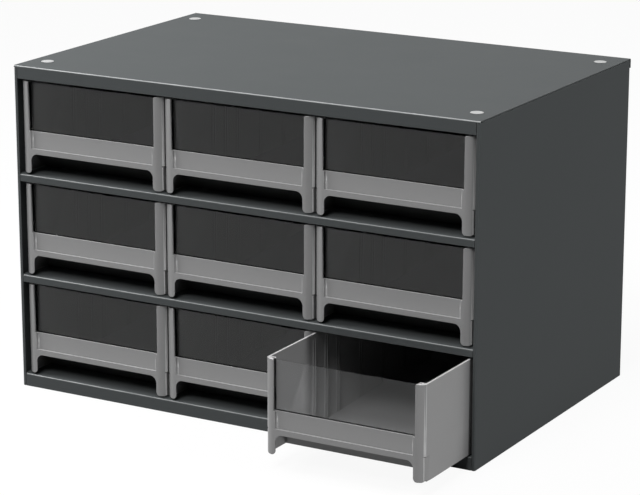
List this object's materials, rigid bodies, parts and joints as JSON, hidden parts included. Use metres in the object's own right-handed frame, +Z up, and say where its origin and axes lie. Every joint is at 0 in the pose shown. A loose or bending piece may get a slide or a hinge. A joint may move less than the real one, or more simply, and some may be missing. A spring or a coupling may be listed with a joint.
{
  "type": "small parts cabinet",
  "caption": "Folded steel bench cabinet with rows of sliding moulded drawers, each with a clear window, a finger lip under the front and divider ribs, for small parts.",
  "frame": {"origin": "middle of the base, at the level the cabinet stands on", "axes": "+X to the right along the front, +Y from the front to the back, +Z up"},
  "size_m": [0.4318, 0.3564, 0.2788],
  "materials": {
    "cabinet_paint": "satin charcoal grey powder coat",
    "tray_plastic": "mid grey moulded plastic with a fine grain",
    "window_plastic": "clear sheet",
    "plug_plastic": "pale moulded plastic"
  },
  "bodies": {
    "cabinet": {"left_side_panel": "cabinet_paint", "right_side_panel": "cabinet_paint", "top_panel": "cabinet_paint", "bottom_panel": "cabinet_paint", "back_panel": "cabinet_paint", "upper_shelf": "cabinet_paint", "lower_shelf": "cabinet_paint", "top_hole_plugs": "plug_plastic"},
    "lower_left_drawer": {"lower_left_tray": "tray_plastic", "lower_left_window": "window_plastic"},
    "lower_centre_drawer": {"lower_centre_tray": "tray_plastic", "lower_centre_window": "window_plastic"},
    "lower_right_drawer": {"lower_right_tray": "tray_plastic", "lower_right_window": "window_plastic"},
    "middle_left_drawer": {"middle_left_tray": "tray_plastic", "middle_left_window": "window_plastic"},
    "middle_centre_drawer": {"middle_centre_tray": "tray_plastic", "middle_centre_window": "window_plastic"},
    "middle_right_drawer": {"middle_right_tray": "tray_plastic", "middle_right_window": "window_plastic"},
    "upper_left_drawer": {"upper_left_tray": "tray_plastic", "upper_left_window": "window_plastic"},
    "upper_centre_drawer": {"upper_centre_tray": "tray_plastic", "upper_centre_window": "window_plastic"},
    "upper_right_drawer": {"upper_right_tray": "tray_plastic", "upper_right_window": "window_plastic"}
  },
  "joints": [
    {"name": "lower_left_slide", "type": "slide", "parent": "cabinet", "child": "lower_left_drawer", "axis": [0, -1, 0], "range_m": [0, 0.205]},
    {"name": "lower_centre_slide", "type": "slide", "parent": "cabinet", "child": "lower_centre_drawer", "axis": [0, -1, 0], "range_m": [0, 0.205]},
    {"name": "lower_right_slide", "type": "slide", "parent": "cabinet", "child": "lower_right_drawer", "axis": [0, -1, 0], "range_m": [-0.076, 0.129]},
    {"name": "middle_left_slide", "type": "slide", "parent": "cabinet", "child": "middle_left_drawer", "axis": [0, -1, 0], "range_m": [0, 0.205]},
    {"name": "middle_centre_slide", "type": "slide", "parent": "cabinet", "child": "middle_centre_drawer", "axis": [0, -1, 0], "range_m": [0, 0.205]},
    {"name": "middle_right_slide", "type": "slide", "parent": "cabinet", "child": "middle_right_drawer", "axis": [0, -1, 0], "range_m": [0, 0.205]},
    {"name": "upper_left_slide", "type": "slide", "parent": "cabinet", "child": "upper_left_drawer", "axis": [0, -1, 0], "range_m": [0, 0.205]},
    {"name": "upper_centre_slide", "type": "slide", "parent": "cabinet", "child": "upper_centre_drawer", "axis": [0, -1, 0], "range_m": [0, 0.205]},
    {"name": "upper_right_slide", "type": "slide", "parent": "cabinet", "child": "upper_right_drawer", "axis": [0, -1, 0], "range_m": [0, 0.205]}
  ]
}
